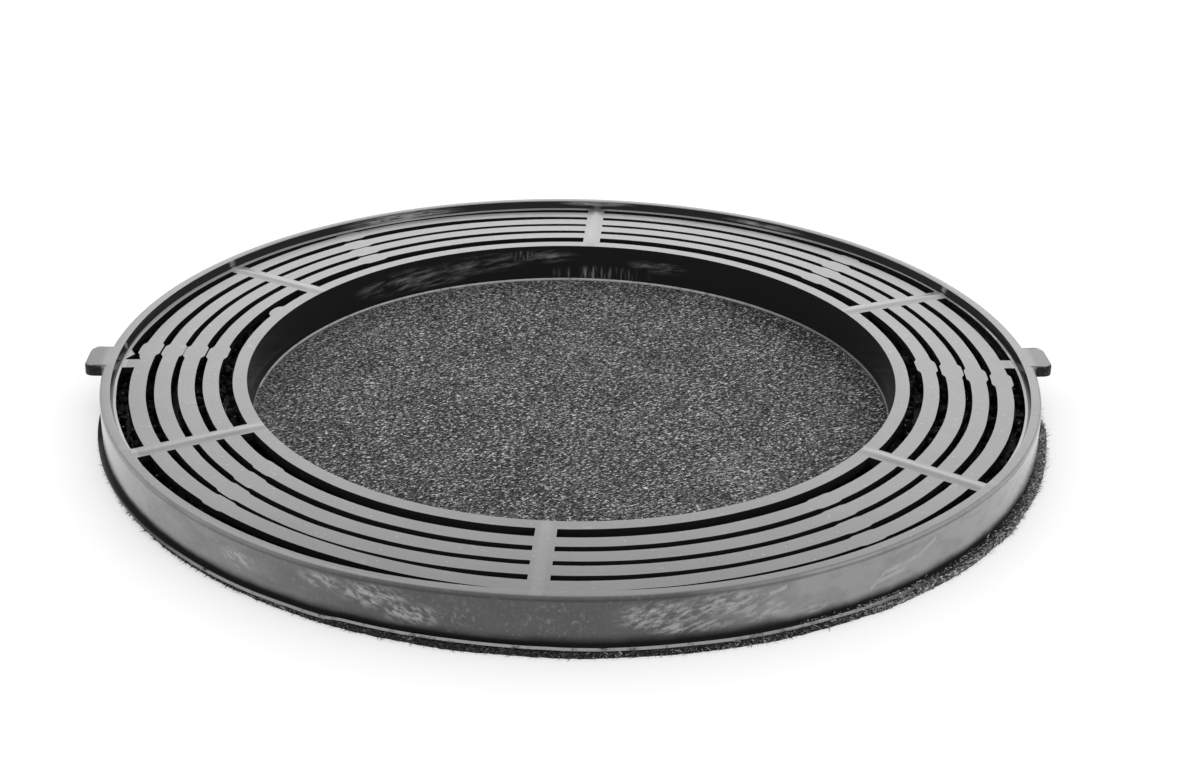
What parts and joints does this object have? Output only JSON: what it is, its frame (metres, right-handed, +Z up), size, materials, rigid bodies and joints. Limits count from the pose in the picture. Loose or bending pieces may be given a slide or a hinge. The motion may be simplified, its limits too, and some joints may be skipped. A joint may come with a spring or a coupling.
{
  "type": "cooker hood carbon filter",
  "caption": "Round carbon filter for a cooker hood: a shallow slotted plastic ring with bayonet lugs, a carbon charge in its channel and a felt disc bonded underneath.",
  "frame": {"origin": "middle of the underside, on the ring's own axis, at the level of the felt's lower face", "axes": "+Z up through the slotted face; one pair of spokes lies along Y; the two bayonet lugs stand 6.2 degrees anticlockwise of +X and 4.1 degrees anticlockwise of -X, seen from above"},
  "size_m": [0.2437, 0.237, 0.0131],
  "materials": {
    "frame_plastic": "black moulded plastic: glossy scuffed walls, satin greyish slotted face",
    "activated_carbon": "crushed activated carbon, black with glinting facets",
    "carbon_felt": "non-woven carbon felt with fine fibre grain, lint and a frayed cut edge"
  },
  "bodies": {
    "root": {"frame": "frame_plastic", "carbon_granules": "activated_carbon", "carbon_felt": "carbon_felt"}
  },
  "joints": []
}
